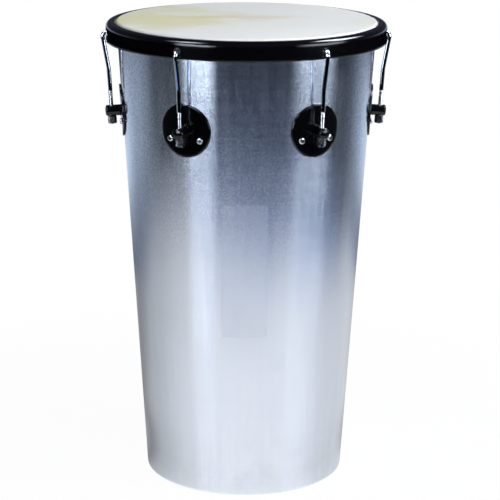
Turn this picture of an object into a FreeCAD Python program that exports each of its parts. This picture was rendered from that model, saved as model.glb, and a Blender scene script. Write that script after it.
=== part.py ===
import FreeCAD, Part
import math, os

# A rebolo drum: a conical sheet-metal shell with a skin head, drawn down by hooked rods.
# Frame: millimetres, +Z up, origin on the floor at the centre of the shell's open bottom.
# The player's side of the drum is -Y, and a lug stands on each side of it.

V = FreeCAD.Vector
UP = V(0, 0, 1)
AXIS_POINT = V(0, 0, 0)
FULL_TURN = 360

# Clearances and tool lengths
moving_gap = 0.3            # between pieces that move against each other
seat_gap = 0.1              # between pieces that are screwed or riveted together
thread_gap = 0.05           # radial, between a thread and its nut
overrun = 20.0              # how far a cutting tool runs past what it cuts

# Shell
shell_height = 547.0
shell_top_radius = 152.4    # outer, at the bearing edge: a twelve-inch head
shell_bottom_radius = 118.6
shell_sheet = 1.5
edge_bend = 1.9             # centre-line radius of the rolled bearing edge
edge_width = 4.0            # centre-line width of the rolled bearing edge
edge_depth = 11.0           # how far its inner leg hangs down
rim_bend = 2.2              # centre-line radius where the bottom is turned in
rim_width = 7.0             # how far the bottom rim reaches inwards

# Head
skin_thickness = 0.8
flesh_hoop_width = 6.4
flesh_hoop_height = 4.0
flesh_hoop_round = 1.2
head_stand = 1.4            # how far the head's crest stands above the counter hoop

# Counter hoop
hoop_sheet = 2.0
hoop_collar_gap = 1.2       # from the skin's collar to the edge of the hoop's flange
hoop_wrap_gap = 1.8         # from the wrapped flesh hoop to the inside of the hoop's wall
hoop_height = 22.0
hoop_bend = 4.5             # centre-line radius between wall and flange

# Lugs
lug_count = 6
lug_drop = 105.7            # from the bearing edge down to the centre of the disc
plate_radius = 30.7
plate_thickness = 2.0
plate_round = 0.7           # rounding of the disc's outer edge
post_radius = 6.5
post_length = 18.4
post_crown = 1.4            # how far the post's end is crowned
post_round = 1.3            # rounding between the crown and the side
post_flat = 0.8             # depth of the flat on which the nut turns
spigot_radius = 3.5

# Tension rods and nuts
rod_radius = 2.5
rod_offset = 10.7           # from the disc's face to the rod
rod_bend_rise = 49.5        # from the post up to where the rod leaves the line of the wall
rod_bend = 8.0              # centre-line radius of that bend
rod_foot_length = 0.7       # thread that shows below the nut
rod_foot_chamfer = 0.5
hook_wrap_gap = 2.3         # from the wrapped flesh hoop down to the top of the hook
hook_stand = 1.1            # from the hoop's outside to the rod, where the hook begins
hook_bend = 5.5             # centre-line radius of the hook
hook_tip_slope = 12.0       # how far the hook's tip points down, degrees
hook_tip_gap = 2.6          # from the tip to the skin's collar
hook_hole_play = 0.7        # radial, between the hook and its hole in the hoop
nut_across_flats = 9.0
nut_height = 9.3
nut_corner_drop = 0.7       # height lost at a corner to the nut's chamfer

# Lug screws with their washers and nuts
screw_spread = 18.4         # sideways, from the disc's centre
screw_drop = 10.0           # down the wall, from the disc's centre
screw_radius = 2.0
screw_hole_play = 0.25
screw_head_radius = 3.6
screw_head_height = 2.4
screw_head_round = 1.4
screw_tail = 1.2            # thread that shows past the nut
recess_length = 4.2
recess_width = 0.8
recess_depth = 1.3
washer_radius = 4.5
washer_thickness = 0.8
screw_nut_across_flats = 7.0
screw_nut_height = 3.2
screw_nut_corner_drop = 0.4

# What follows from the sizes above
slope = (shell_top_radius - shell_bottom_radius) / shell_height
wall_angle = math.atan(slope)
wall_up = V(math.sin(wall_angle), 0, math.cos(wall_angle))
wall_out = V(math.cos(wall_angle), 0, -math.sin(wall_angle))
head_top = shell_height + moving_gap + skin_thickness
collar_inner = shell_top_radius + moving_gap
collar_outer = collar_inner + skin_thickness
hoop_top = head_top - head_stand
wrap_top = hoop_top - hoop_sheet - moving_gap
wrap_bottom = wrap_top - flesh_hoop_height - 2 * (skin_thickness + seat_gap)
wrap_outer = collar_outer + flesh_hoop_width + 2 * seat_gap + skin_thickness
hoop_outer_radius = wrap_outer + hoop_wrap_gap + hoop_sheet
lug_height = shell_height - lug_drop


def wall_radius(height, standoff=0):
    """Radius of the shell's outer face at a height, moved outwards along its normal."""
    return shell_bottom_radius + height * slope + standoff / math.cos(wall_angle)


def around(shape, angle):
    """A copy of a shape, turned about the drum's axis."""
    turned = shape.copy()
    turned.rotate(AXIS_POINT, UP, angle)
    return turned


def on_wall(shape, height, standoff, angle=0):
    """A shape drawn along +Z, stood on the shell's outer face and pointing outwards."""
    foot = V(wall_radius(height), 0, height) + wall_out * standoff
    placed = shape.copy()
    placed.Placement = FreeCAD.Placement(foot, FreeCAD.Rotation(UP, wall_out))
    return around(placed, angle)


def bent_edges(corners, bends, offset, plane_normal):
    """Straight runs joined by tangent arcs, moved sideways from the centre line by offset."""
    edges = []
    first_run = (corners[1] - corners[0]).normalize()
    pen = corners[0] + plane_normal.cross(first_run) * offset
    for before, corner, after, bend in zip(corners, corners[1:], corners[2:], bends):
        arriving = (corner - before).normalize()
        leaving = (after - corner).normalize()
        half_turn = arriving.getAngle(leaving) / 2
        setback = bend * math.tan(half_turn)
        inward = (leaving - arriving).normalize()
        centre = corner + inward * (bend / math.cos(half_turn))
        side = 1 if arriving.cross(leaving).dot(plane_normal) > 0 else -1
        start = corner - arriving * setback + plane_normal.cross(arriving) * offset
        middle = centre - inward * (bend - side * offset)
        end = corner + leaving * setback + plane_normal.cross(leaving) * offset
        edges.append(Part.LineSegment(pen, start).toShape())
        edges.append(Part.Arc(start, middle, end).toShape())
        pen = end
    last_run = (corners[-1] - corners[-2]).normalize()
    last = corners[-1] + plane_normal.cross(last_run) * offset
    edges.append(Part.LineSegment(pen, last).toShape())
    return edges


def spun_sheet(profile, bends, thickness):
    """A sheet of even thickness, bent along a profile of (radius, height) points and spun."""
    corners = [V(radius, 0, height) for radius, height in profile]
    plane_normal = V(0, 1, 0)
    inner = bent_edges(corners, bends, -thickness / 2, plane_normal)
    outer = bent_edges(corners, bends, thickness / 2, plane_normal)
    caps = [
        Part.LineSegment(inner[0].firstVertex().Point, outer[0].firstVertex().Point).toShape(),
        Part.LineSegment(inner[-1].lastVertex().Point, outer[-1].lastVertex().Point).toShape(),
    ]
    outline = Part.Wire(Part.__sortEdges__(inner + outer + caps))
    return Part.Face(outline).revolve(AXIS_POINT, UP, FULL_TURN)


def spun_outline(points):
    """A solid spun about +Z from (radius, height) points joined by straight lines."""
    corners = [V(radius, 0, height) for radius, height in points]
    return Part.Face(Part.makePolygon(corners + corners[:1])).revolve(AXIS_POINT, UP, FULL_TURN)


def hexagon_nut(across_flats, height, corner_drop, bore_radius):
    """A nut standing on the origin, with its corners chamfered at both ends."""
    corner_radius = across_flats / math.sqrt(3)
    corners = [V(corner_radius, 0, 0)]
    for turn in range(60, FULL_TURN + 1, 60):
        angle = math.radians(turn)
        corners.append(V(corner_radius * math.cos(angle), corner_radius * math.sin(angle), 0))
    prism = Part.Face(Part.makePolygon(corners)).extrude(UP * height)
    face_radius = across_flats / 2
    chamfers = spun_outline([(0, 0), (face_radius, 0), (corner_radius, corner_drop),
                             (corner_radius, height - corner_drop), (face_radius, height), (0, height)])
    return prism.common(chamfers).cut(Part.makeCylinder(bore_radius, height))


def shell():
    """The conical body: rolled bearing edge, turned-in bottom rim, and the lug screws' holes."""
    half = shell_sheet / 2
    edge_z = shell_height - half
    bottom = (wall_radius(half, -half), half)
    top = (wall_radius(edge_z, -half), edge_z)
    profile = [(bottom[0] - rim_width, half), bottom, top,
               (top[0] - edge_width, edge_z), (top[0] - edge_width, shell_height - edge_depth)]
    body = spun_sheet(profile, [rim_bend, edge_bend, edge_bend], shell_sheet)
    drill = Part.makeCylinder(screw_radius + screw_hole_play, 2 * overrun)
    return body.cut([on_wall(drill, height, -overrun, angle) for height, angle in screw_places()])


def head_skin():
    """The playing surface, its collar over the bearing edge, and the wrap round the flesh hoop."""
    half = skin_thickness / 2
    collar, out = collar_inner + half, wrap_outer - half
    low, high = wrap_bottom + half, wrap_top - half
    edge_cover = edge_bend + shell_sheet / 2 + moving_gap + half
    profile = [(0, head_top - half), (collar, head_top - half), (collar, low), (out, low), (out, high),
               (collar_outer + seat_gap, high)]
    return spun_sheet(profile, [edge_cover, skin_thickness, skin_thickness, skin_thickness], skin_thickness)


def flesh_hoop():
    """The ring that the skin's border is wrapped round."""
    base = wrap_bottom + skin_thickness + seat_gap
    inside = collar_outer + seat_gap
    disc = Part.makeCylinder(inside + flesh_hoop_width, flesh_hoop_height, V(0, 0, base))
    ring = disc.cut(Part.makeCylinder(inside, flesh_hoop_height, V(0, 0, base)))
    return ring.makeFillet(flesh_hoop_round, [edge for edge in ring.Edges if len(edge.Vertexes) == 1])


def counter_hoop():
    """The pressed hoop over the head, with a hole in its wall for each hook."""
    half = hoop_sheet / 2
    wall = hoop_outer_radius - half
    top = hoop_top - half
    profile = [(collar_outer + hoop_collar_gap, top), (wall, top), (wall, hoop_top - hoop_height)]
    hoop = spun_sheet(profile, [hoop_bend], hoop_sheet)
    start = V(hoop_outer_radius - overrun, 0, hook_hole_height())
    drill = Part.makeCylinder(rod_radius + hook_hole_play, 2 * overrun, start, V(1, 0, 0))
    return hoop.cut([around(drill, angle) for angle in lug_angles()])


def lug_angles():
    """Angle of each lug about the drum's axis, the front left one first."""
    step = FULL_TURN / lug_count
    return [270 - step / 2 + number * step for number in range(lug_count)]


def screw_places():
    """Height and angle of each lug screw: a pair below the middle of each disc."""
    height = lug_height - screw_drop * math.cos(wall_angle)
    swing = math.degrees(math.asin(screw_spread / wall_radius(height)))
    return [(height, angle + side * swing) for angle in lug_angles() for side in (-1, 1)]


def wall_cone(standoff):
    """A solid cone whose side stands off the shell's outer face, its seam away from angle 0."""
    cone = Part.makeCone(wall_radius(0, standoff), wall_radius(shell_height, standoff), shell_height)
    return around(cone, FULL_TURN / 2)


def lug_plate():
    """The disc of the lug at angle 0, curved round the shell and pierced for post and screws."""
    disc = Part.makeCylinder(plate_radius, 2 * overrun)
    disc = on_wall(disc, lug_height, -overrun)
    plate = disc.common(wall_cone(seat_gap + plate_thickness)).cut(wall_cone(seat_gap))
    outer_face = max((face for face in plate.Faces if face.Surface.TypeId == "Part::GeomCone"),
                     key=lambda face: face.Area)
    plate = plate.makeFillet(plate_round, outer_face.OuterWire.Edges)
    height = lug_height - screw_drop * math.cos(wall_angle)
    swing = math.degrees(math.asin(screw_spread / wall_radius(height)))
    post_hole = Part.makeCylinder(spigot_radius + seat_gap, 2 * overrun)
    screw_hole = Part.makeCylinder(screw_radius + screw_hole_play, 2 * overrun)
    holes = [on_wall(post_hole, lug_height, -overrun)]
    holes += [on_wall(screw_hole, height, -overrun, side * swing) for side in (-1, 1)]
    return plate.cut(holes)


def lug_post():
    """The turned post of the lug at angle 0, with its spigot, the rod's bore and the nut's flat."""
    face = seat_gap + plate_thickness
    shoulder = post_length - post_crown
    side = Part.makePolygon([V(0, 0, shoulder), V(0, 0, -post_flat), V(post_radius, 0, -post_flat),
                             V(post_radius, 0, shoulder)])
    crown_half_share = 0.5
    sphere_radius = (post_radius ** 2 + post_crown ** 2) / (2 * post_crown)
    middle_radius = post_radius * crown_half_share
    middle = post_length - sphere_radius + math.sqrt(sphere_radius ** 2 - middle_radius ** 2)
    crown = Part.Arc(V(post_radius, 0, shoulder), V(middle_radius, 0, middle), V(0, 0, post_length))
    closing = Part.LineSegment(V(0, 0, post_length), V(0, 0, shoulder))
    outline = Part.Wire(Part.__sortEdges__(side.Edges + [crown.toShape(), closing.toShape()]))
    post = Part.Face(outline).revolve(AXIS_POINT, UP, FULL_TURN)
    rims = [edge for edge in post.Edges if len(edge.Vertexes) == 1
            and abs(edge.firstVertex().Point.z - shoulder) < seat_gap]
    post = post.makeFillet(post_round, rims)
    post = on_wall(post, lug_height, face).cut(wall_cone(face + seat_gap))
    spigot = on_wall(Part.makeCylinder(spigot_radius, face + 2 * post_flat), lug_height, -post_flat)
    post = post.fuse(spigot.cut(wall_cone(seat_gap))).removeSplitter()
    bore = Part.makeCylinder(rod_radius + moving_gap, 2 * overrun, rod_line(-overrun), wall_up)
    flat_tool = Part.makeCylinder(overrun, overrun, rod_line(post_flat - post_radius), -wall_up)
    keep_clear = rod_line(0) - wall_out * (rod_offset - nut_across_flats / 2)
    shield = Part.makeCylinder(overrun, 2 * overrun, keep_clear, -wall_out)
    return post.cut([bore, flat_tool.cut(shield)])


def rod_line(distance):
    """A point on the lower, straight run of the rod at angle 0, above (+) or below (-) the post."""
    foot = V(wall_radius(lug_height), 0, lug_height)
    return foot + wall_out * (seat_gap + plate_thickness + rod_offset) + wall_up * distance


def nut_seat():
    """Distance along the rod's line of the nut's upper face."""
    return post_flat - post_radius - moving_gap


def hook_centre():
    """Centre of the hook's bend at angle 0, just inside the counter hoop's wall."""
    across = hoop_outer_radius + hook_stand + rod_radius - hook_bend
    return V(across, 0, wrap_bottom - hook_wrap_gap - rod_radius - hook_bend)


def rod_corners():
    """The rod's corners at angle 0: foot, bend, hook and tip."""
    foot = rod_line(nut_seat() - nut_height - rod_foot_length)
    bend = rod_line(rod_bend_rise)
    to_hook = hook_centre() - bend
    lean = math.atan2(to_hook.x, to_hook.z) + math.asin(hook_bend / to_hook.Length)
    tip_slope = math.radians(hook_tip_slope)
    outside = V(math.cos(lean), 0, -math.sin(lean))
    over = V(-math.sin(tip_slope), 0, math.cos(tip_slope))
    hook = hook_centre() + (outside + over) * (hook_bend / (1 + outside.dot(over)))
    tip_x = collar_outer + hook_tip_gap
    tip = V(tip_x, 0, hook.z - (hook.x - tip_x) * math.tan(tip_slope))
    return foot, bend, hook, tip


def hook_hole_height():
    """Height at which the hook goes through the middle of the hoop's wall."""
    aside = hoop_outer_radius - hoop_sheet / 2 - hook_centre().x
    return hook_centre().z + math.sqrt(hook_bend ** 2 - aside ** 2)


def tension_rod():
    """The hooked rod of the lug at angle 0, from its threaded foot to the tip of the hook."""
    corners = rod_corners()
    spine = Part.Wire(bent_edges(corners, [rod_bend, hook_bend], 0, V(0, 1, 0)))
    start = Part.Wire(Part.makeCircle(rod_radius, corners[0], wall_up))
    rod = spine.makePipeShell([start], True, False)
    ends = [edge for edge in rod.Edges if edge.Curve.TypeId == "Part::GeomCircle"
            and edge.Curve.Center.isEqual(corners[0], thread_gap)]
    return rod.makeChamfer(rod_foot_chamfer, ends)


def tension_nut():
    """The nut that draws the rod down, turning on the flat under the post at angle 0."""
    nut = hexagon_nut(nut_across_flats, nut_height, nut_corner_drop, rod_radius + thread_gap)
    nut.Placement = FreeCAD.Placement(rod_line(nut_seat() - nut_height), FreeCAD.Rotation(UP, wall_up))
    return nut


def lug_screw():
    """A pan-head screw drawn along +Z, with the underside of its head on the origin."""
    inside = shell_sheet + 2 * seat_gap + plate_thickness + washer_thickness + screw_nut_height
    head = Part.makeCylinder(screw_head_radius, screw_head_height)
    head = head.makeFillet(screw_head_round, [edge for edge in head.Edges
                                              if edge.BoundBox.ZMin > screw_head_height / 2])
    shank_length = inside + 3 * seat_gap + screw_tail
    shank = Part.makeCylinder(screw_radius, shank_length, V(0, 0, -shank_length))
    slot = Part.makeBox(recess_length, recess_width, screw_head_height,
                        V(-recess_length / 2, -recess_width / 2, screw_head_height - recess_depth))
    return head.fuse(shank).removeSplitter().cut([slot, around(slot, 90)])


def washer():
    """A flat washer standing on the origin."""
    disc = Part.makeCylinder(washer_radius, washer_thickness)
    return disc.cut(Part.makeCylinder(screw_radius + screw_hole_play, washer_thickness))


def at_each_screw(shape, standoff):
    """One node that holds a copy of a shape at every lug screw."""
    return Part.makeCompound([on_wall(shape, height, standoff, angle) for height, angle in screw_places()])


def export(shape, node):
    """Write one sub-part to its own file."""
    shape.exportStep(os.path.join("parts", node + ".step"))


os.makedirs("parts", exist_ok=True)

export(shell(), "shell")
export(head_skin(), "head_skin")
export(flesh_hoop(), "flesh_hoop")
export(counter_hoop(), "counter_hoop")

for piece, node in [(lug_plate(), "lug_plate"), (lug_post(), "lug_post"),
                    (tension_rod(), "tension_rod"), (tension_nut(), "tension_nut")]:
    for number, angle in enumerate(lug_angles(), start=1):
        export(around(piece, angle), f"{node}_{number}")

washer_face = -shell_sheet - 2 * seat_gap - washer_thickness
nut_face = washer_face - seat_gap - screw_nut_height
screw_nut = hexagon_nut(screw_nut_across_flats, screw_nut_height, screw_nut_corner_drop,
                        screw_radius + thread_gap)
export(at_each_screw(lug_screw(), plate_thickness + 2 * seat_gap), "lug_screws")
export(at_each_screw(washer(), washer_face), "lug_screw_washers")
export(at_each_screw(screw_nut, nut_face), "lug_screw_nuts")
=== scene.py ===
import math

import bpy
from mathutils import Matrix, Vector, noise


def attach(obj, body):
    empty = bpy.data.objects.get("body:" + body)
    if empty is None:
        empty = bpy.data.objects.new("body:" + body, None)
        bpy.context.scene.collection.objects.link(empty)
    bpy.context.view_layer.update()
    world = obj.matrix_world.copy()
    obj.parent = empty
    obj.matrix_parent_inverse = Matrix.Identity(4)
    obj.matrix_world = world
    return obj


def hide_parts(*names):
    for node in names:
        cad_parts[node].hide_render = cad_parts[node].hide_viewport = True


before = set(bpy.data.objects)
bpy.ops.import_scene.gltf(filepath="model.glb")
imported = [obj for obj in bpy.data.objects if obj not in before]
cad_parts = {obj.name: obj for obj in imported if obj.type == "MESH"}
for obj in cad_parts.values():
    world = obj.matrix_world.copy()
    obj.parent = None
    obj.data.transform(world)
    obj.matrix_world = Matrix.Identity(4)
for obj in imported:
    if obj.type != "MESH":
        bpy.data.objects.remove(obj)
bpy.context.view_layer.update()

# Shell.
# The conical body is thin aluminium sheet, rolled and welded up the back, brushed round and round,
# with a rolled bearing edge at the top and a flat turned-in rim at the open bottom.

MM = 0.001
SHELL_HEIGHT = 547 * MM
SHELL_TOP_RADIUS = 152.4 * MM
SHELL_BOTTOM_RADIUS = 118.6 * MM
WALL_SLOPE = (SHELL_TOP_RADIUS - SHELL_BOTTOM_RADIUS) / SHELL_HEIGHT
WALL_ANGLE = math.atan(WALL_SLOPE)
NODE_STEP = 190             # between nodes in the editor
LINE_DEPTH = 0.05 * MM      # of the brushed lines, at full depth


def add_node(tree, kind, inputs=None, **settings):
    """A node at the end of a tree's row; each input is a value, or a socket to take it from."""
    node = tree.nodes.new(kind)
    node.location = (NODE_STEP * len(tree.nodes), 0)
    for name, value in settings.items():
        setattr(node, name, value)
    for socket, value in (inputs or {}).items():
        if isinstance(value, bpy.types.NodeSocket):
            tree.links.new(value, node.inputs[socket])
        else:
            node.inputs[socket].default_value = value
    return node


def sum_of(tree, operation, first, second=0.0, third=0.0, clamp=False):
    """One step of arithmetic in a tree, and the socket that it comes out of."""
    return add_node(tree, "ShaderNodeMath", {0: first, 1: second, 2: third},
                    operation=operation, use_clamp=clamp).outputs[0]


def spread_of(tree, value, low, high, to_low=0.0, to_high=1.0):
    """A value moved smoothly from one range to another."""
    return add_node(tree, "ShaderNodeMapRange", {0: value, 1: low, 2: high, 3: to_low, 4: to_high},
                    interpolation_type="SMOOTHSTEP").outputs[0]


def length_of(tree, vector):
    """How long a vector is."""
    return add_node(tree, "ShaderNodeVectorMath", {0: vector}, operation="LENGTH").outputs["Value"]


def blend_colours(tree, share, first, second):
    """A colour between two others, by share."""
    mix = add_node(tree, "ShaderNodeMix", {0: share, 6: first, 7: second}, data_type="RGBA")
    return mix.outputs[2]


def new_group(name, inputs, outputs):
    """An empty shader node group with number inputs and the given outputs, and the ends of its tree."""
    group = bpy.data.node_groups.new(name, "ShaderNodeTree")
    for label, value in inputs:
        socket = group.interface.new_socket(label, in_out="INPUT", socket_type="NodeSocketFloat")
        socket.default_value = value
    for label, kind in outputs:
        group.interface.new_socket(label, in_out="OUTPUT", socket_type=kind)
    return group, group.nodes.new("NodeGroupInput").outputs, group.nodes.new("NodeGroupOutput").inputs


def use_group(tree, group, **values):
    """A group placed in a material, with its own values."""
    node = add_node(tree, "ShaderNodeGroup", node_tree=group)
    for label, value in values.items():
        node.inputs[label].default_value = value
    return node.outputs


def new_finish(name, **plain):
    """A material, its tree and its Principled shader, with the values that are even all over."""
    material = bpy.data.materials.new(name)
    material.use_nodes = True
    shader = material.node_tree.nodes["Principled BSDF"]
    for label, value in plain.items():
        shader.inputs[label.replace("_", " ")].default_value = value
    return material, material.node_tree, shader


def dress(node, material):
    """Give a carried-over piece its finish."""
    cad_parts[node].material_slots[0].material = material


# Fine lines left by a tool that runs round the drum: noise drawn out along the turn.
brushing, given, out = new_group("brushing", [("Around", 5), ("Across", 1500), ("Depth", 0.2)],
                                 [("Lines", "NodeSocketFloat"), ("Normal", "NodeSocketVector")])
place = add_node(brushing, "ShaderNodeTexCoord").outputs["Object"]
drawn_out = add_node(brushing, "ShaderNodeCombineXYZ",
                     {0: given["Around"], 1: given["Around"], 2: given["Across"]}).outputs[0]
stretched = add_node(brushing, "ShaderNodeVectorMath", {0: place, 1: drawn_out}, operation="MULTIPLY")
lines = add_node(brushing, "ShaderNodeTexNoise", {"Vector": stretched.outputs[0], "Scale": 1.0,
                                                  "Detail": 4.0, "Roughness": 0.65})
raised = add_node(brushing, "ShaderNodeBump", {"Strength": given["Depth"], "Distance": LINE_DEPTH,
                                               "Height": lines.outputs[0]})
brushing.links.new(lines.outputs[0], out["Lines"])
brushing.links.new(raised.outputs[0], out["Normal"])

# Cloudy marks of handling, dust and polish, from none (0) to full (1).
CLOUD_LOW, CLOUD_HIGH = 0.45, 0.72
smudges, given, out = new_group("smudges", [("Scale", 14), ("Amount", 0.5)], [("Mask", "NodeSocketFloat")])
place = add_node(smudges, "ShaderNodeTexCoord").outputs["Object"]
clouds = add_node(smudges, "ShaderNodeTexNoise", {"Vector": place, "Scale": given["Scale"],
                                                  "Detail": 5.0, "Roughness": 0.62, "Distortion": 0.6})
marked = spread_of(smudges, clouds.outputs[0], CLOUD_LOW, CLOUD_HIGH)
smudges.links.new(sum_of(smudges, "MULTIPLY", marked, given["Amount"]), out["Mask"])

# Where an edge or corner sticks out and gets rubbed: the rounded normal leaves the flat one there.
SQUARE_ON, TURNED_AWAY = 0.995, 0.90
CHIP_LOW, CHIP_HIGH = 0.42, 0.66
edge_wear, given, out = new_group("edge_wear", [("Width", 0.6 * MM), ("Amount", 1.0), ("Breakup", 250)],
                                  [("Mask", "NodeSocketFloat")])
rounded = add_node(edge_wear, "ShaderNodeBevel", {"Radius": given["Width"]}, samples=6).outputs[0]
flat = add_node(edge_wear, "ShaderNodeNewGeometry").outputs["Normal"]
facing = add_node(edge_wear, "ShaderNodeVectorMath", {0: rounded, 1: flat}, operation="DOT_PRODUCT")
turned = spread_of(edge_wear, facing.outputs["Value"], SQUARE_ON, TURNED_AWAY)
place = add_node(edge_wear, "ShaderNodeTexCoord").outputs["Object"]
chips = add_node(edge_wear, "ShaderNodeTexNoise", {"Vector": place, "Scale": given["Breakup"],
                                                   "Detail": 3.0})
broken = spread_of(edge_wear, chips.outputs[0], CHIP_LOW, CHIP_HIGH)
worn = sum_of(edge_wear, "MULTIPLY", turned, broken)
edge_wear.links.new(sum_of(edge_wear, "MULTIPLY", worn, given["Amount"], clamp=True), out["Mask"])

ALUMINIUM = (0.765, 0.83, 0.955, 1)
ALUMINIUM_LIT = (0.85, 0.895, 0.97, 1)
ALUMINIUM_DARKER = (0.62, 0.68, 0.80, 1)
ALUMINIUM_INSIDE = (0.50, 0.52, 0.55, 1)
ALUMINIUM_RUBBED = (0.88, 0.90, 0.94, 1)
LEVEL = (1, 1, 0)           # keeps what is level of a direction
ROLLED_GRAIN = (140, 140, 3)
BRUSHED_SHARE, ROLLED_SHARE = 0.6, 0.4
GRAIN_LOW, GRAIN_HIGH = 0.3, 0.7
INSIDE_FADE = 20 * MM       # tells the inner face from the outer
MOTTLE_SCALE = 430
SPECK_LOW, SPECK_HIGH = 0.38, 0.62
DARKER_LOW, DARKER_HIGH = 240 * MM, 460 * MM
DARKER_LEAST = 0.08
SCUFF_LOW, SCUFF_HIGH = 20 * MM, 90 * MM
SCUFF_SHARE = 0.35
SMOOTH, COARSE = 0.145, 0.175
SMUDGE_ROUGH, INSIDE_ROUGH = 0.03, 0.16

brushed, tree, shader = new_finish("brushed_aluminium", Metallic=1, Anisotropic=1.0,
                                   Anisotropic_Rotation=0.25)
marks = use_group(tree, brushing, Around=3, Across=1600, Depth=0.05)
handled = use_group(tree, smudges, Scale=9, Amount=0.6)
rubbed = use_group(tree, edge_wear, Width=0.8 * MM, Amount=0.6, Breakup=120)
surface = add_node(tree, "ShaderNodeNewGeometry").outputs["Normal"]
position = add_node(tree, "ShaderNodeTexCoord").outputs["Object"]
level = add_node(tree, "ShaderNodeVectorMath", {0: position, 1: LEVEL}, operation="MULTIPLY").outputs[0]
outward = add_node(tree, "ShaderNodeVectorMath", {0: level, 1: surface}, operation="DOT_PRODUCT")
inside = spread_of(tree, outward.outputs["Value"], INSIDE_FADE, -INSIDE_FADE)
upright = add_node(tree, "ShaderNodeVectorMath", {0: position, 1: ROLLED_GRAIN}, operation="MULTIPLY")
rolled = add_node(tree, "ShaderNodeTexNoise", {"Vector": upright.outputs[0], "Scale": 1.0, "Detail": 3.0})
grain = sum_of(tree, "MULTIPLY_ADD", rolled.outputs[0], ROLLED_SHARE,
               sum_of(tree, "MULTIPLY", marks["Lines"], BRUSHED_SHARE))
bright = blend_colours(tree, spread_of(tree, grain, GRAIN_LOW, GRAIN_HIGH), ALUMINIUM, ALUMINIUM_LIT)
height = add_node(tree, "ShaderNodeSeparateXYZ", {0: position}).outputs[2]
# The metal turns darker in mottled patches, more of them towards the top.
specks = add_node(tree, "ShaderNodeTexNoise", {"Vector": position, "Scale": MOTTLE_SCALE, "Detail": 3.0})
darker_higher_up = sum_of(tree, "MULTIPLY", spread_of(tree, specks.outputs[0], SPECK_LOW, SPECK_HIGH),
               spread_of(tree, height, DARKER_LOW, DARKER_HIGH, DARKER_LEAST, 1.0))
bright = blend_colours(tree, darker_higher_up, bright, ALUMINIUM_DARKER)
scuffed = sum_of(tree, "MULTIPLY", handled["Mask"],
                 spread_of(tree, height, SCUFF_HIGH, SCUFF_LOW, 0.0, SCUFF_SHARE))
bright = blend_colours(tree, scuffed, bright, ALUMINIUM_INSIDE)
bright = blend_colours(tree, rubbed["Mask"], bright, ALUMINIUM_RUBBED)
tree.links.new(blend_colours(tree, inside, bright, ALUMINIUM_INSIDE), shader.inputs["Base Color"])
rough = spread_of(tree, grain, GRAIN_LOW, GRAIN_HIGH, SMOOTH, COARSE)
rough = sum_of(tree, "MULTIPLY_ADD", handled["Mask"], SMUDGE_ROUGH, rough)
rough = sum_of(tree, "MULTIPLY_ADD", inside, INSIDE_ROUGH, rough)
tree.links.new(rough, shader.inputs["Roughness"])
tree.links.new(marks["Normal"], shader.inputs["Normal"])
tangent = add_node(tree, "ShaderNodeTangent", direction_type="RADIAL", axis="Z")
tree.links.new(tangent.outputs["Tangent"], shader.inputs["Tangent"])
dress("shell", brushed)

# Blank film.
# A clear film up the front of the shell, plain all over. It is thin plastic, cut with rounded
# corners and held by its own glue.

FILM_TURN = math.radians(-2.7)
FILM_WIDTH = 53 * MM
FILM_LOW, FILM_HIGH = 199 * MM, 358.5 * MM
FILM_CORNER = 2.5 * MM
FILM_THICKNESS = 0.12 * MM
FILM_STAND = 0.03 * MM
FILM_ACROSS, FILM_UP = 28, 60
FILM_CLEAR, FILM_MILKY = (0.74, 0.78, 0.86, 1), (0.86, 0.89, 0.94, 1)
FILM_SMOOTH, FILM_ROUGH = 0.30, 0.42
BUBBLES = 0.6


def new_piece(name, points, faces, material, smooth=True):
    """A mesh object in the scene, with its finish."""
    mesh = bpy.data.meshes.new(name)
    mesh.from_pydata(points, [], faces)
    mesh.validate()
    mesh.polygons.foreach_set("use_smooth", [smooth] * len(mesh.polygons))
    mesh.materials.append(material)
    piece = bpy.data.objects.new(name, mesh)
    bpy.context.collection.objects.link(piece)
    return piece


def on_wall(aside, height, standoff):
    """A point off the shell's outer face, given sideways from the film's middle, up, and outwards."""
    radius = SHELL_BOTTOM_RADIUS + height * WALL_SLOPE
    turn = FILM_TURN + aside / radius
    radius += standoff
    return (radius * math.sin(turn), -radius * math.cos(turn), height - standoff * WALL_SLOPE)


points, faces = [], []
for standoff in (FILM_STAND, FILM_STAND + FILM_THICKNESS):
    for row in range(FILM_UP + 1):
        height = FILM_LOW + (FILM_HIGH - FILM_LOW) * row / FILM_UP
        from_end = min(height - FILM_LOW, FILM_HIGH - height)
        cut = FILM_CORNER - min(from_end, FILM_CORNER)
        half = FILM_WIDTH / 2 - FILM_CORNER + math.sqrt(FILM_CORNER ** 2 - cut ** 2)
        points += [on_wall(half * (2 * column / FILM_ACROSS - 1), height, standoff)
                   for column in range(FILM_ACROSS + 1)]
layer = (FILM_ACROSS + 1) * (FILM_UP + 1)
for row in range(FILM_UP):
    for column in range(FILM_ACROSS):
        low = row * (FILM_ACROSS + 1) + column
        high = low + FILM_ACROSS + 1
        faces.append((layer + low, layer + low + 1, layer + high + 1, layer + high))
        faces.append((low, high, high + 1, low + 1))
rim = [row * (FILM_ACROSS + 1) + FILM_ACROSS for row in range(FILM_UP + 1)]
rim += [FILM_UP * (FILM_ACROSS + 1) + column for column in range(FILM_ACROSS - 1, -1, -1)]
rim += [row * (FILM_ACROSS + 1) for row in range(FILM_UP - 1, -1, -1)]
rim += list(range(1, FILM_ACROSS))
for here, there in zip(rim, rim[1:] + rim[:1]):
    faces.append((here, there, layer + there, layer + here))

film, tree, shader = new_finish("clear_film", Alpha=0.05, IOR=1.46)
bubbles = use_group(tree, smudges, Scale=60, Amount=BUBBLES)
tree.links.new(blend_colours(tree, bubbles["Mask"], FILM_CLEAR, FILM_MILKY), shader.inputs["Base Color"])
rough = spread_of(tree, bubbles["Mask"], 0.0, BUBBLES, FILM_SMOOTH, FILM_ROUGH)
tree.links.new(rough, shader.inputs["Roughness"])
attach(new_piece("front_film", points, faces, film), "shell_body")

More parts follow.
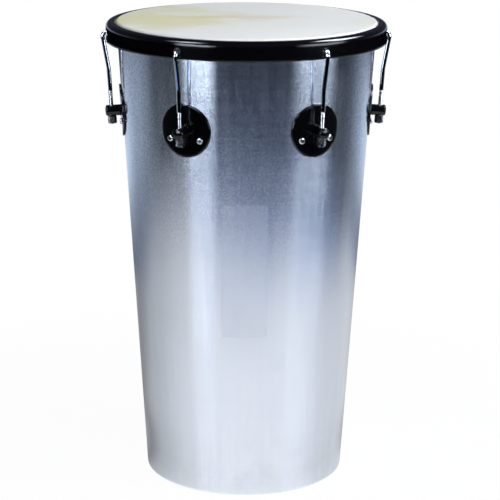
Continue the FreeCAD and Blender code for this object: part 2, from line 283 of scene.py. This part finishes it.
# Lugs.
# Each lug is a pressed steel disc curved round the shell, with a turned steel post riveted into it.
# Both are under thick black stove enamel. Two screws in each disc hold it to the shell.

ENAMEL = (0.002, 0.002, 0.003, 1)
ENAMEL_RUBBED = (0.09, 0.09, 0.10, 1)
ENAMEL_GLOSSY, ENAMEL_HANDLED = 0.055, 0.085
HANDLING = 0.5
PEEL_SCALE, PEEL_DEPTH = 380, 0.3 * MM
FLOW_RADIUS = 3 * MM        # how far the thick enamel rounds what is under it
THIN_RADIUS, THICK_RADIUS = 157 * MM, 160 * MM
HOOP_FOOT, BELOW_HOOP = 510 * MM, 500 * MM

enamel, tree, shader = new_finish("black_enamel", Specular_IOR_Level=0.4)
handled = use_group(tree, smudges, Scale=45, Amount=HANDLING)
rubbed = use_group(tree, edge_wear, Width=0.4 * MM, Amount=0.35, Breakup=400)
place = add_node(tree, "ShaderNodeTexCoord").outputs["Object"]
peel = add_node(tree, "ShaderNodeTexNoise", {"Vector": place, "Scale": PEEL_SCALE,
                                             "Detail": 1.5}).outputs[0]
# The enamel ran off the cut edge inside the hoop and left it crisp. It is thick everywhere else.
flowed = add_node(tree, "ShaderNodeBevel", {"Radius": FLOW_RADIUS}, samples=8).outputs[0]
crisp = add_node(tree, "ShaderNodeNewGeometry").outputs["Normal"]
level = add_node(tree, "ShaderNodeVectorMath", {0: place, 1: LEVEL}, operation="MULTIPLY").outputs[0]
height = add_node(tree, "ShaderNodeSeparateXYZ", {0: place}).outputs[2]
thick = sum_of(tree, "MAXIMUM", spread_of(tree, length_of(tree, level), THIN_RADIUS, THICK_RADIUS),
               spread_of(tree, height, HOOP_FOOT, BELOW_HOOP))
face = add_node(tree, "ShaderNodeMix", {0: thick, 4: crisp, 5: flowed}, data_type="VECTOR").outputs[1]
skinned = add_node(tree, "ShaderNodeBump", {"Strength": 0.05, "Distance": PEEL_DEPTH, "Height": peel,
                                            "Normal": face}).outputs[0]
tree.links.new(skinned, shader.inputs["Normal"])
tree.links.new(blend_colours(tree, rubbed["Mask"], ENAMEL, ENAMEL_RUBBED), shader.inputs["Base Color"])
rough = spread_of(tree, handled["Mask"], 0.0, HANDLING, ENAMEL_GLOSSY, ENAMEL_HANDLED)
tree.links.new(rough, shader.inputs["Roughness"])
LUGS = range(1, 7)
for number in LUGS:
    dress(f"lug_plate_{number}", enamel)
    dress(f"lug_post_{number}", enamel)

# Lug screws.
# Zinc-plated pan-head screws with a cross recess, through disc and shell, each with a washer and a
# nut inside. The plating is bright, with a faint blue and some dulling.

ZINC, ZINC_DULL = (0.78, 0.80, 0.84, 1), (0.52, 0.54, 0.58, 1)
ZINC_RUBBED = (0.92, 0.93, 0.95, 1)
ZINC_SMOOTH, ZINC_ROUGH = 0.18, 0.38
# Painted shade for the cross recess and other hollows of the screws.
RECESS_PAINTED_SHADE = (0.03, 0.03, 0.035, 1)
RECESS_DEPTH = 1.8 * MM
RECESS_OPEN, RECESS_SHUT = 0.80, 0.45       # how much of the room a point in it sees

zinc, tree, shader = new_finish("bright_zinc", Metallic=1)
handled = use_group(tree, smudges, Scale=180, Amount=1.0)
rubbed = use_group(tree, edge_wear, Width=0.4 * MM, Amount=0.8, Breakup=500)
plated = blend_colours(tree, handled["Mask"], ZINC, ZINC_DULL)
plated = blend_colours(tree, rubbed["Mask"], plated, ZINC_RUBBED)
# Painted shade: the cross recess and other hollows turn near black where little of the room reaches them.
openness = add_node(tree, "ShaderNodeAmbientOcclusion", {"Distance": RECESS_DEPTH}, samples=8)
painted_recess_shade = spread_of(tree, openness.outputs["AO"], RECESS_OPEN, RECESS_SHUT)
tree.links.new(blend_colours(tree, painted_recess_shade, plated, RECESS_PAINTED_SHADE), shader.inputs["Base Color"])
rough = spread_of(tree, handled["Mask"], 0.0, 1.0, ZINC_SMOOTH, ZINC_ROUGH)
tree.links.new(rough, shader.inputs["Roughness"])
for node in ("lug_screws", "lug_screw_washers", "lug_screw_nuts"):
    dress(node, zinc)

# Head.
# A natural hide, cut round, soaked, and lapped over the flesh hoop, where its border is gathered in
# small pleats. Dried, it is hard, cream-coloured and a little waxy, with a tan mark along the spine.

SKIN = 0.8 * MM
HEAD_TOP = 548.1 * MM
COLLAR_RADIUS = 152.7 * MM + SKIN / 2
WRAP_RADIUS = 160.9 * MM - SKIN / 2
WRAP_HIGH, WRAP_LOW = 544.4 * MM - SKIN / 2, 538.6 * MM + SKIN / 2
CUT_RADIUS = 153.8 * MM
EDGE_BEND = 3.35 * MM
LAP_BEND = 0.8 * MM
HIDE_HOLE = 0.5 * MM        # the radius that the cap in the middle closes
LAP_START, LAP_FADE = 4 * MM, 5 * MM        # below the top, and how soon the pleats are full
PLEAT = 0.22 * MM
PLEATS_PER_METRE = 320
SWELL = 0.10 * MM
SWELLS_PER_METRE = 22
SWELL_END = 20 * MM         # inside the collar, where the swell dies out
SEGMENTS = 288


def rounded_line(corners, bends, straight, arc):
    """Points along straight runs joined by arcs, each with its direction, stepped by two lengths."""
    found = []
    pen = corners[0]
    for before, corner, after, bend in zip(corners, corners[1:], corners[2:], bends):
        arriving, leaving = (corner - before).normalized(), (after - corner).normalized()
        half_turn = arriving.angle(leaving) / 2
        setback = bend * math.tan(half_turn)
        start, end = corner - arriving * setback, corner + leaving * setback
        centre = corner + (leaving - arriving).normalized() * (bend / math.cos(half_turn))
        steps = max(1, round((start - pen).length / straight))
        found += [(pen.lerp(start, step / steps), arriving) for step in range(steps)]
        turns = max(3, round(2 * half_turn * bend / arc))
        for step in range(turns):
            share = step / turns
            swing = Matrix.Rotation(2 * half_turn * share, 3, arriving.cross(leaving))
            found.append((centre + swing @ (start - centre), swing @ arriving))
        pen = end
    direction = (corners[-1] - pen).normalized()
    steps = max(1, round((corners[-1] - pen).length / straight))
    found += [(pen.lerp(corners[-1], step / steps), direction) for step in range(steps + 1)]
    return found


def spun(rings):
    """The faces of a solid whose rings of points go round the drum, capped at the first and last."""
    count = rings * SEGMENTS
    sides = []
    for low in range(0, count - SEGMENTS, SEGMENTS):
        high = low + SEGMENTS
        for step in range(SEGMENTS):
            beside = (step + 1) % SEGMENTS
            sides.append((low + step, high + step, high + beside, low + beside))
    return sides + [tuple(range(SEGMENTS)), tuple(range(count - 1, count - SEGMENTS - 1, -1))]


hide_line = rounded_line(
    [Vector((HIDE_HOLE, 0, HEAD_TOP - SKIN / 2)), Vector((COLLAR_RADIUS, 0, HEAD_TOP - SKIN / 2)),
     Vector((COLLAR_RADIUS, 0, WRAP_LOW)), Vector((WRAP_RADIUS, 0, WRAP_LOW)),
     Vector((WRAP_RADIUS, 0, WRAP_HIGH)), Vector((CUT_RADIUS, 0, WRAP_HIGH))],
    [EDGE_BEND, LAP_BEND, LAP_BEND, LAP_BEND], straight=2.5 * MM, arc=0.5 * MM)
upper = [(point, direction, 1) for point, direction in hide_line]
under = [(point, direction, -1) for point, direction in reversed(hide_line)]
points = []
for point, direction, side in upper + under:
    outward = direction.cross(Vector((0, 1, 0)))
    face = outward * (side * SKIN / 2)
    lapped = min(1.0, max(0.0, (HEAD_TOP - LAP_START - point.z) / LAP_FADE))
    inside_collar = min(1.0, (COLLAR_RADIUS - point.x) / SWELL_END)
    for step in range(SEGMENTS):
        turn = 2 * math.pi * step / SEGMENTS
        spot = Vector((point.x * math.cos(turn), point.x * math.sin(turn), 0))
        placed = point + face
        if lapped:
            placed += outward * (lapped * PLEAT * (1 + noise.noise(spot * PLEATS_PER_METRE)) / 2)
        placed.z += (1 - lapped) * SWELL * noise.noise(spot * SWELLS_PER_METRE) * inside_collar
        points.append((placed.x * math.cos(turn), placed.x * math.sin(turn), placed.z))
faces = spun(len(upper) + len(under))

WHITE_HIDE = (0.87, 0.885, 0.89, 1)
CREAM = (0.87, 0.87, 0.83, 1)
YELLOW = (0.80, 0.76, 0.46, 1)
TAN = (0.74, 0.60, 0.38, 1)
DARK_FIBRE = (0.70, 0.64, 0.50, 1)
FIBRE_SCALE, FIBRE_DEPTH = 420, 0.3 * MM
FIBRE_LOW, FIBRE_HIGH, FIBRE_SHARE = 0.62, 0.80, 0.30
CREAM_LOW, CREAM_HIGH = 0.42, 0.68
PATCH_EDGE, PATCH_FULL = 1.15, 0.25         # in half-widths of a patch
STRAY = 1.2
DRIFT_LOW, DRIFT_HIGH = 0.3, 0.7
HIDE_SMOOTH, HIDE_ROUGH = 0.42, 0.58


def patch_of(tree, part, centre, spread, stray):
    """1 in the middle of an oval on the head and 0 outside it, with a wandering border. In metres."""
    along = sum_of(tree, "MULTIPLY", sum_of(tree, "ADD", part[0], -centre[0]), 1 / spread[0])
    across = sum_of(tree, "MULTIPLY", sum_of(tree, "ADD", part[1], -centre[1]), 1 / spread[1])
    square = sum_of(tree, "MULTIPLY_ADD", along, along, sum_of(tree, "MULTIPLY", across, across))
    from_middle = sum_of(tree, "ADD", sum_of(tree, "SQRT", square), stray)
    return spread_of(tree, from_middle, PATCH_EDGE, PATCH_FULL)


hide, tree, shader = new_finish("natural_skin", Specular_IOR_Level=0.15)
place = add_node(tree, "ShaderNodeTexCoord").outputs["Object"]
part = add_node(tree, "ShaderNodeSeparateXYZ", {0: place}).outputs
drift = add_node(tree, "ShaderNodeTexNoise", {"Vector": place, "Scale": 13.0, "Detail": 6.0,
                                              "Roughness": 0.6}).outputs[0]
stray = sum_of(tree, "MULTIPLY_ADD", drift, 2 * STRAY, -STRAY)
clouds = add_node(tree, "ShaderNodeTexNoise", {"Vector": place, "Scale": 6.0, "Detail": 4.0}).outputs[0]
hide_colour = blend_colours(tree, spread_of(tree, clouds, CREAM_LOW, CREAM_HIGH), WHITE_HIDE, CREAM)
for colour, strength, centre, spread in (
        (YELLOW, 0.82, (-0.100, 0.005), (0.110, 0.100)),        # flank
        (TAN, 0.45, (-0.020, 0.020), (0.100, 0.020)),           # spine
        (YELLOW, 0.20, (0.150, -0.030), (0.040, 0.070))):       # tail
    mark = sum_of(tree, "MULTIPLY", patch_of(tree, part, centre, spread, stray), strength)
    hide_colour = blend_colours(tree, mark, hide_colour, colour)
fibre = add_node(tree, "ShaderNodeTexNoise", {"Vector": place, "Scale": FIBRE_SCALE, "Detail": 5.0,
                                              "Roughness": 0.7, "Distortion": 0.8}).outputs[0]
darker = spread_of(tree, fibre, FIBRE_LOW, FIBRE_HIGH, 0.0, FIBRE_SHARE)
tree.links.new(blend_colours(tree, darker, hide_colour, DARK_FIBRE), shader.inputs["Base Color"])
rough = spread_of(tree, drift, DRIFT_LOW, DRIFT_HIGH, HIDE_SMOOTH, HIDE_ROUGH)
tree.links.new(rough, shader.inputs["Roughness"])
pores = add_node(tree, "ShaderNodeBump", {"Strength": 0.25, "Distance": FIBRE_DEPTH, "Height": fibre})
tree.links.new(pores.outputs[0], shader.inputs["Normal"])
skin = new_piece("head_hide", points, faces, hide)
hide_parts("head_skin")
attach(skin, "head")

# Flesh hoop.
# A ring of plain steel strip, bent round and welded, that holds the hide by its lapped border. The
# counter hoop bears on it and hides it.

STEEL, STEEL_STAINED = (0.55, 0.55, 0.56, 1), (0.34, 0.30, 0.27, 1)
STEEL_SMOOTH, STEEL_ROUGH = 0.30, 0.50

steel, tree, shader = new_finish("plain_steel", Metallic=1)
handled = use_group(tree, smudges, Scale=70, Amount=1.0)
tree.links.new(blend_colours(tree, handled["Mask"], STEEL, STEEL_STAINED), shader.inputs["Base Color"])
rough = spread_of(tree, handled["Mask"], 0.0, 1.0, STEEL_SMOOTH, STEEL_ROUGH)
tree.links.new(rough, shader.inputs["Roughness"])
dress("flesh_hoop", steel)

# Counter hoop.
# Pressed steel, turned in at the top over the flesh hoop and enamelled black like the lugs.
# Six holes in its wall take the rods' hooks.

dress("counter_hoop", enamel)

# Tension rods.
# Five-millimetre steel wire, chromed, threaded at the foot, bent once to clear the hoop and hooked
# through the hoop's wall. The thread starts a little above the post.

ROD_RADIUS = 2.5 * MM
THREAD_PITCH = 0.8 * MM
THREAD_DEPTH = 0.45 * MM
THREAD_TOP = 24 * MM        # above the middle of the post
THREAD_FADE = 1.6 * MM
THREAD_STEPS = 400
GROOVE_FLAT, GROOVE_SIDES = 1.15, 2.6       # the groove's flat bottom, and how steep its sides are
FOOT_CHAMFER = 0.6 * MM
TIP_ROUND = 1.2 * MM
ROUND_ROD = 24
LUG_HEIGHT = 441.3 * MM
ROD_OUT = 12.8 * MM         # from the shell's face to the rod
ROD_FOOT = -16.0 * MM
ROD_BEND_RISE = 49.5 * MM
ROD_BEND = 8 * MM
HOOK_CENTRE = Vector((162.8 * MM, 0, 528.3 * MM))
HOOK_BEND = 5.5 * MM
HOOK_TIP_RADIUS = 156.1 * MM
HOOK_TIP_SLOPE = math.radians(12)
FIRST_LUG = math.radians(240)
CHROME, CHROME_DULL = (0.80, 0.82, 0.85, 1), (0.58, 0.59, 0.62, 1)
CHROME_SMOOTH, CHROME_ROUGH = 0.02, 0.06

chrome, tree, shader = new_finish("chrome_rod", Metallic=1)
handled = use_group(tree, smudges, Scale=260, Amount=1.0)
tree.links.new(blend_colours(tree, handled["Mask"], CHROME, CHROME_DULL), shader.inputs["Base Color"])
rough = spread_of(tree, handled["Mask"], 0.0, 1.0, CHROME_SMOOTH, CHROME_ROUGH)
tree.links.new(rough, shader.inputs["Roughness"])

wall_up = Vector((math.sin(WALL_ANGLE), 0, math.cos(WALL_ANGLE)))
wall_out = Vector((math.cos(WALL_ANGLE), 0, -math.sin(WALL_ANGLE)))
lug_middle = Vector((SHELL_BOTTOM_RADIUS + LUG_HEIGHT * WALL_SLOPE, 0, LUG_HEIGHT)) + wall_out * ROD_OUT
bend = lug_middle + wall_up * ROD_BEND_RISE
to_hook = HOOK_CENTRE - bend
lean = math.atan2(to_hook.x, to_hook.z) + math.asin(HOOK_BEND / to_hook.length)
outside = Vector((math.cos(lean), 0, -math.sin(lean)))
over = Vector((-math.sin(HOOK_TIP_SLOPE), 0, math.cos(HOOK_TIP_SLOPE)))
hook = HOOK_CENTRE + (outside + over) * (HOOK_BEND / (1 + outside.dot(over)))
tip = Vector((HOOK_TIP_RADIUS, 0, hook.z - (hook.x - HOOK_TIP_RADIUS) * math.tan(HOOK_TIP_SLOPE)))
foot = lug_middle + wall_up * ROD_FOOT

thread_length = THREAD_TOP - ROD_FOOT
threaded = [(foot + wall_up * (thread_length * step / THREAD_STEPS), wall_up)
            for step in range(THREAD_STEPS)]
plain = rounded_line([foot + wall_up * thread_length, bend, hook, tip], [ROD_BEND, HOOK_BEND],
                     straight=4 * MM, arc=0.6 * MM)
rod_line = threaded + plain
total = sum((after[0] - before[0]).length for before, after in zip(rod_line, rod_line[1:]))
rod_length = 0.0
rod_points, rod_faces = [], []
previous = rod_line[0][0]
for ring, (point, direction) in enumerate(rod_line):
    rod_length += (point - previous).length
    previous = point
    face = Vector((0, 1, 0)).cross(direction)
    cut_share = min(1.0, max(0.0, (thread_length - rod_length) / THREAD_FADE))
    foot_chamfer = max(0.0, FOOT_CHAMFER - rod_length)
    into_tip = max(0.0, TIP_ROUND - (total - rod_length))
    tip_in = TIP_ROUND - math.sqrt(max(0.0, TIP_ROUND ** 2 - into_tip ** 2))
    for step in range(ROUND_ROD):
        turn = 2 * math.pi * step / ROUND_ROD
        groove = abs((turn / (2 * math.pi) + rod_length / THREAD_PITCH) % 1.0 - 0.5)
        depth = THREAD_DEPTH * cut_share * min(1.0, max(0.0, GROOVE_FLAT - GROOVE_SIDES * groove))
        radius = ROD_RADIUS - max(depth, foot_chamfer) - tip_in
        rod_points.append(point + (face * math.cos(turn) + Vector((0, 1, 0)) * math.sin(turn)) * radius)
    if ring:
        low, high = (ring - 1) * ROUND_ROD, ring * ROUND_ROD
        for step in range(ROUND_ROD):
            beside = (step + 1) % ROUND_ROD
            rod_faces.append((low + step, low + beside, high + beside, high + step))
rod_faces.append(tuple(range(ROUND_ROD - 1, -1, -1)))
rod_faces.append(tuple(range(len(rod_points) - ROUND_ROD, len(rod_points))))

for number in LUGS:
    turned_to = Matrix.Rotation(FIRST_LUG + 2 * math.pi * (number - 1) / len(LUGS), 3, "Z")
    rod = new_piece(f"rod_{number}", [turned_to @ point for point in rod_points], rod_faces, chrome)
    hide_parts(f"tension_rod_{number}")
    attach(rod, f"rod_{number}")

# Tension nuts.
# Hexagon steel nuts, nickel-plated and dulled by the spanner. Each turns on its rod's thread under
# the post and draws the rod down.

NICKEL, NICKEL_RUBBED = (0.96, 0.95, 0.94, 1), (0.88, 0.88, 0.87, 1)
NICKEL_SMOOTH, NICKEL_ROUGH = 0.14, 0.45
GRIME = (0.06, 0.055, 0.05, 1)
GRIME_SCALE, GRIME_DEPTH = 420, 0.6 * MM
GRIME_FROM, GRIME_FULL = 0.46, 0.54

nickel, tree, shader = new_finish("nickel_nut", Metallic=1)
rubbed = use_group(tree, edge_wear, Width=0.5 * MM, Amount=0.9, Breakup=450)
place = add_node(tree, "ShaderNodeTexCoord").outputs["Object"]
grime = add_node(tree, "ShaderNodeTexNoise", {"Vector": place, "Scale": GRIME_SCALE,
                                              "Detail": 3.0}).outputs[0]
plated = blend_colours(tree, spread_of(tree, grime, GRIME_FROM, GRIME_FULL), NICKEL, GRIME)
tree.links.new(blend_colours(tree, rubbed["Mask"], plated, NICKEL_RUBBED), shader.inputs["Base Color"])
rough = spread_of(tree, grime, GRIME_FROM, GRIME_FULL, NICKEL_SMOOTH, NICKEL_ROUGH)
tree.links.new(rough, shader.inputs["Roughness"])
marked = add_node(tree, "ShaderNodeBump", {"Strength": 0.5, "Distance": GRIME_DEPTH, "Height": grime})
tree.links.new(marked.outputs[0], shader.inputs["Normal"])
for number in LUGS:
    dress(f"tension_nut_{number}", nickel)

# Studio.
# White paper on the floor, and a dark room that shows only where metal or film mirrors it. A strip
# lamp and a high lamp stand on each side, a soft lamp hangs overhead, and the camera is in front.

FLOOR_RADIUS = 6.0
STAGE_STEPS = 72            # round each rim of the stage
SHADOW_NEAR, SHADOW_FAR = 0.25, 0.9
SHADOW_SHARE = 0.04
PAPER = (0.9, 0.9, 0.9, 1)
WHITE = (1, 1, 1, 1)
BLACK = (0, 0, 0, 1)


def stage_mesh(name, rims, material):
    """A band between two rims round the drum's axis, or a disc in one. A rim is a radius and a height."""
    turns = [2 * math.pi * step / STAGE_STEPS for step in range(STAGE_STEPS)]
    points = [(math.cos(turn) * radius, math.sin(turn) * radius, height)
              for radius, height in rims for turn in turns]
    faces = [tuple(range(STAGE_STEPS))]
    if len(rims) == 2:
        faces = []
        for step in range(STAGE_STEPS):
            beside = (step + 1) % STAGE_STEPS
            faces.append((STAGE_STEPS + step, STAGE_STEPS + beside, beside, step))
    return new_piece(name, points, faces, material, smooth=False)


def new_stage_paint(name):
    """A bare material for the stage, its tree and its output."""
    paint = bpy.data.materials.new(name)
    paint.use_nodes = True
    paint.node_tree.nodes.clear()
    return paint, paint.node_tree, add_node(paint.node_tree, "ShaderNodeOutputMaterial")


def glow(tree, out, colour):
    """End a stage paint's tree in light of its own."""
    tree.links.new(add_node(tree, "ShaderNodeEmission", {0: colour, 1: 1.0}).outputs[0], out.inputs[0])


def seen_or_reflected(tree):
    """1 for what the camera sees, straight, in metal or through film, and 0 for other light."""
    rays = add_node(tree, "ShaderNodeLightPath").outputs
    first = sum_of(tree, "MAXIMUM", rays["Is Camera Ray"], rays["Is Glossy Ray"])
    return sum_of(tree, "MAXIMUM", first, rays["Is Transmission Ray"])


paper, tree, out = new_stage_paint("white_paper")
position = add_node(tree, "ShaderNodeNewGeometry").outputs["Position"]
shadow = spread_of(tree, length_of(tree, position), SHADOW_NEAR, SHADOW_FAR, SHADOW_SHARE, 0.0)
shadow = sum_of(tree, "MULTIPLY", shadow, add_node(tree, "ShaderNodeLightPath").outputs["Is Camera Ray"])
white = add_node(tree, "ShaderNodeEmission", {0: WHITE, 1: 1.0}).outputs[0]
lit = add_node(tree, "ShaderNodeBsdfDiffuse", {0: PAPER}).outputs[0]
shown = add_node(tree, "ShaderNodeMixShader", {0: shadow, 1: white, 2: lit}).outputs[0]
paper_look = add_node(tree, "ShaderNodeMixShader", {0: seen_or_reflected(tree), 1: lit, 2: shown})
tree.links.new(paper_look.outputs[0], out.inputs[0])
floor = stage_mesh("floor", [(FLOOR_RADIUS, 0)], paper)

# The room that the metal mirrors. Each list gives levels at places round the drum: 0 is behind it,
# a half in front and 1 behind again.
ROOM_RADIUS, ROOM_HEIGHT = 2.8, 2.8
ROOM_GREY = (0.87, 1.0, 1.20, 1)
ROOM_HIGH = (0.05, 0.06, 0.09, 1)
ROOM_SHARES = [(0.0, 0.80), (0.10, 0.74), (0.148, 0.55), (0.184, 0.48), (0.215, 0.33), (0.2425, 0.11),
               (0.30, 0.03), (0.36, 0.0), (0.62, 0.0), (0.70, 0.02), (0.77, 0.07), (0.80, 0.17),
               (0.836, 0.42), (0.88, 0.70), (1.0, 0.80)]
PAPER_SHARES = [(0.0, 0.44), (0.05, 0.34), (0.11, 0.28), (0.147, 0.36), (0.187, 0.50), (0.222, 0.56),
                (0.253, 0.62), (0.30, 0.76), (0.34, 0.84), (0.41, 0.90), (0.44, 1.0), (0.61, 1.0),
                (0.66, 0.89), (0.70, 0.81), (0.74, 0.79), (0.80, 0.76), (0.86, 0.75), (0.94, 0.55),
                (1.0, 0.44)]
PAPER_SEEN = (0.96, 0.96, 0.96, 1)
PAPER_EDGE = (0.05, 0.235, 0.66, 1)
PAPER_EDGE_LIT = (0.36, 0.43, 0.56, 1)
EDGE_SHARES = [(0.0, 1.0), (0.34, 1.0), (0.42, 0.0), (0.74, 0.0), (0.80, 1.0), (1.0, 1.0)]
PAPER_TO, PAPER_END, EDGE_TO, DARK_FROM = 0.78, 0.94, 0.98, 1.08
PAPER_REACH = 0.22          # how much further the paper goes at full share
REACH_SHARES = [(0.0, 0.0), (0.18, 0.0), (0.235, 0.9), (0.32, 1.0), (0.36, 0.7), (0.43, 0.45), (0.50, 0.1),
                (0.56, 0.0), (0.585, 0.25), (0.61, 0.25), (0.64, 0.1), (0.72, 0.0), (0.78, 0.15),
                (0.82, 0.45), (0.87, 0.15), (1.0, 0.0)]
CLOSE, CLEAR = 0.12, 0.32   # from the middle, where points count furthest round, and as they stand
CLOSE_TURN = 1.5
DIM_FROM, DIM_TO, DIM_SHARE = 1.15, 1.65, 0.7
BLACK_FROM, BLACK_TO = 2.3, 2.7
FOOT_FROM, FOOT_TO = 0.18, 0.35             # heights where the wall's black foot gives way
TOP_FROM, TOP_TO = 0.45, 0.75               # heights where the wall turns as dark as the roof
CARPET_GAP, CARPET_HEIGHT = 0.9 * MM, 2 * MM


def azimuth_share(tree, position, away):
    """Where a point of the stage stands round the drum, from its position and its distance. Close to
    the drum the shell turns its light further round, so that points there count further round."""
    part = add_node(tree, "ShaderNodeSeparateXYZ", {0: position}).outputs
    turn = sum_of(tree, "ARCTAN2", part[0], sum_of(tree, "MULTIPLY", part[1], -1.0))
    turn = sum_of(tree, "MULTIPLY", turn, spread_of(tree, away, CLOSE, CLEAR, CLOSE_TURN, 1.0))
    return sum_of(tree, "MULTIPLY_ADD", turn, 1 / (2 * math.pi), 0.5)


def grey_stops(tree, value, stops):
    """A grey that changes along a value, given as places and levels."""
    ramp = add_node(tree, "ShaderNodeValToRGB", {0: value})
    for place, _ in stops[:-2]:
        ramp.color_ramp.elements.new(place)
    for element, (place, level) in zip(ramp.color_ramp.elements, stops):
        element.position = place
        element.color = (level, level, level, 1)
    return ramp.outputs[0]


def tinted(tree, grey, tint):
    """A grey times a colour."""
    return add_node(tree, "ShaderNodeMix", {0: 1.0, 6: grey, 7: tint}, data_type="RGBA",
                    blend_type="MULTIPLY").outputs[2]


carpet, tree, out = new_stage_paint("studio_floor")
position = add_node(tree, "ShaderNodeNewGeometry").outputs["Position"]
away = length_of(tree, position)
share = azimuth_share(tree, position, away)
room = tinted(tree, grey_stops(tree, share, ROOM_SHARES), ROOM_GREY)
laid = grey_stops(tree, share, PAPER_SHARES)
near = tinted(tree, laid, PAPER_SEEN)
room = blend_colours(tree, spread_of(tree, away, DIM_FROM, DIM_TO, DIM_SHARE, 0.0), room, BLACK)
room = blend_colours(tree, spread_of(tree, away, BLACK_FROM, BLACK_TO), room, BLACK)
reached = sum_of(tree, "MULTIPLY_ADD", grey_stops(tree, share, REACH_SHARES), -PAPER_REACH, away)
edge_tint = blend_colours(tree, grey_stops(tree, share, EDGE_SHARES), PAPER_EDGE, PAPER_EDGE_LIT)
edge = tinted(tree, laid, edge_tint)
colour = blend_colours(tree, spread_of(tree, reached, PAPER_TO, PAPER_END), near, edge)
glow(tree, out, blend_colours(tree, spread_of(tree, reached, EDGE_TO, DARK_FROM), colour, room))
studio_floor = stage_mesh("studio_floor", [(SHELL_BOTTOM_RADIUS + CARPET_GAP, CARPET_HEIGHT),
                                           (ROOM_RADIUS, CARPET_HEIGHT)], carpet)

drapes, tree, out = new_stage_paint("studio_drapes")
position = add_node(tree, "ShaderNodeNewGeometry").outputs["Position"]
share = azimuth_share(tree, position, length_of(tree, position))
up = add_node(tree, "ShaderNodeSeparateXYZ", {0: position}).outputs[2]
low = tinted(tree, grey_stops(tree, share, ROOM_SHARES), ROOM_GREY)
low = blend_colours(tree, spread_of(tree, up, FOOT_FROM, FOOT_TO), BLACK, low)
glow(tree, out, blend_colours(tree, spread_of(tree, up, TOP_FROM, TOP_TO), low, ROOM_HIGH))
studio_wall = stage_mesh("studio_wall", [(ROOM_RADIUS, ROOM_HEIGHT), (ROOM_RADIUS, 0)], drapes)

roof, tree, out = new_stage_paint("studio_roof")
glow(tree, out, ROOM_HIGH)
studio_roof = stage_mesh("studio_roof", [(ROOM_RADIUS, ROOM_HEIGHT)], roof)
for backing in (studio_floor, studio_wall, studio_roof):
    backing.visible_camera = False
    backing.visible_diffuse = False
    backing.visible_transmission = False
    backing.visible_shadow = False

FILL = (0.94, 0.96, 1, 1)
FILL_LEVEL = 0.4
world = bpy.data.worlds.new("studio")
bpy.context.scene.world = world
world.use_nodes = True
tree = world.node_tree
tree.nodes.clear()
out = add_node(tree, "ShaderNodeOutputWorld")
fill = add_node(tree, "ShaderNodeBackground", {0: FILL, 1: FILL_LEVEL}).outputs[0]
white = add_node(tree, "ShaderNodeBackground", {0: WHITE, 1: 1.0}).outputs[0]
backdrop = add_node(tree, "ShaderNodeMixShader", {0: seen_or_reflected(tree), 1: fill, 2: white})
tree.links.new(backdrop.outputs[0], out.inputs[0])

LAMP_COLOUR = (0.82, 0.90, 1.0)
OVERHEAD_COLOUR = (0.94, 0.97, 1.0)
OVERHEAD_WIDE, OVERHEAD_HIGH = 1.0, 0.7
OVERHEAD_POWER = 22
OVERHEAD_PLACE = Vector((0.9, -0.75, 1.45))
OVERHEAD_AIM = Vector((0, 0, 0.5))


def area_light(name, wide, high, power, colour):
    """A square-cornered lit sheet, before it is placed."""
    light = bpy.data.lights.new(name, "AREA")
    light.shape = "RECTANGLE"
    light.size, light.size_y = wide, high
    light.energy = power
    light.color = colour
    return light


def stand(light, place, back):
    """Put a light in the scene, out of the camera's sight, with its back turned one way."""
    item = bpy.data.objects.new(light.name, light)
    item.matrix_world = Matrix.Translation(place) @ back.to_track_quat("Z", "Y").to_matrix().to_4x4()
    item.visible_camera = False
    bpy.context.collection.objects.link(item)
    return item


def lamp(name, azimuth, low, high, away, wide, level, soft):
    """A lamp that only metal and gloss show. It stands round the drum, azimuth 0 in front, and fades
    towards its sides over a share of its width."""
    light = area_light(name, wide, high - low, level * math.pi * wide * (high - low), LAMP_COLOUR)
    light.use_nodes = True
    tree = light.node_tree
    shown = next(node for node in tree.nodes if node.type == "EMISSION")
    place = add_node(tree, "ShaderNodeNewGeometry").outputs["Parametric"]
    part = add_node(tree, "ShaderNodeSeparateXYZ", {0: place}).outputs
    aside = sum_of(tree, "ABSOLUTE", sum_of(tree, "ADD", part[0], -0.5))
    tree.links.new(spread_of(tree, aside, 0.5, 0.5 - soft), shown.inputs["Strength"])
    turn = math.radians(azimuth)
    back = Vector((math.sin(turn), -math.cos(turn), 0))
    stand(light, back * away + Vector((0, 0, (low + high) / 2)), back).visible_diffuse = False


lamp("left_strip", azimuth=-43.5, low=0.34, high=0.95, away=1.7, wide=1.12, level=10.5, soft=0.32)
lamp("right_strip", azimuth=59.5, low=0.34, high=0.95, away=1.7, wide=1.60, level=6.6, soft=0.32)
lamp("left_top", azimuth=-60, low=1.45, high=2.7, away=1.4, wide=0.95, level=20.0, soft=0.5)
lamp("right_top", azimuth=96, low=1.35, high=2.75, away=1.4, wide=1.35, level=38.0, soft=0.5)
overhead = area_light("overhead", OVERHEAD_WIDE, OVERHEAD_HIGH, OVERHEAD_POWER, OVERHEAD_COLOUR)
stand(overhead, OVERHEAD_PLACE, OVERHEAD_PLACE - OVERHEAD_AIM).visible_glossy = False

CAMERA_AWAY, CAMERA_HEIGHT = 2.2997, 0.8777
CAMERA_ASIDE = 5.83 * MM
CAMERA_TURN = -2.507        # degrees round the drum, as the pitch and roll
CAMERA_PITCH = 14.823
CAMERA_ROLL = 0.400
CAMERA_LENS, CAMERA_SENSOR = 141.975, 36    # millimetres

camera_data = bpy.data.cameras.new("camera")
camera_data.sensor_width = CAMERA_SENSOR
camera_data.lens = CAMERA_LENS
camera = bpy.data.objects.new("camera", camera_data)
camera.matrix_world = (Matrix.Rotation(math.radians(CAMERA_TURN), 4, "Z")
                       @ Matrix.Translation((CAMERA_ASIDE, -CAMERA_AWAY, CAMERA_HEIGHT))
                       @ Matrix.Rotation(math.radians(90 - CAMERA_PITCH), 4, "X")
                       @ Matrix.Rotation(math.radians(CAMERA_ROLL), 4, "Z"))
bpy.context.collection.objects.link(camera)
bpy.context.scene.camera = camera
bpy.context.scene.view_settings.view_transform = "Standard"
